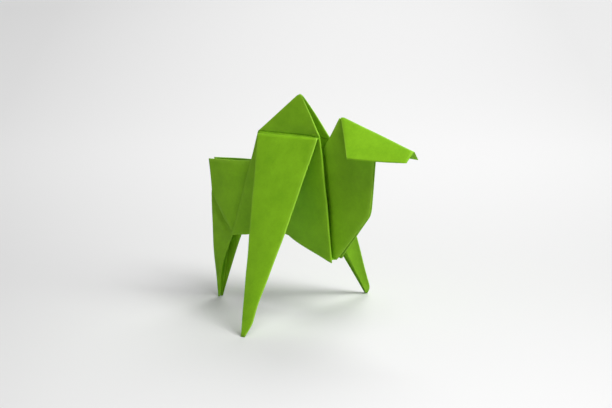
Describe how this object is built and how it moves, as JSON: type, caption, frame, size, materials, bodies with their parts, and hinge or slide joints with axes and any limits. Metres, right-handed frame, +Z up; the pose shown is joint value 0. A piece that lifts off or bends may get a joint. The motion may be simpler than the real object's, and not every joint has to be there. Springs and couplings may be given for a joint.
{
  "type": "origami camel",
  "caption": "Camel folded from a square of green paper, standing on splayed front legs and a slim hind leg, with a pointed hump and a crimped head.",
  "frame": {"origin": "on the ground below the middle of the camel's overall length, on its middle plane", "axes": "+X towards the nose, +Y towards the camel's left side, +Z up"},
  "size_m": [0.1028, 0.0802, 0.0908],
  "materials": {
    "green_paper": "matt uncoated paper, the same green on both sides"
  },
  "bodies": {
    "root": {"folded_sheet": "green_paper"}
  },
  "joints": []
}
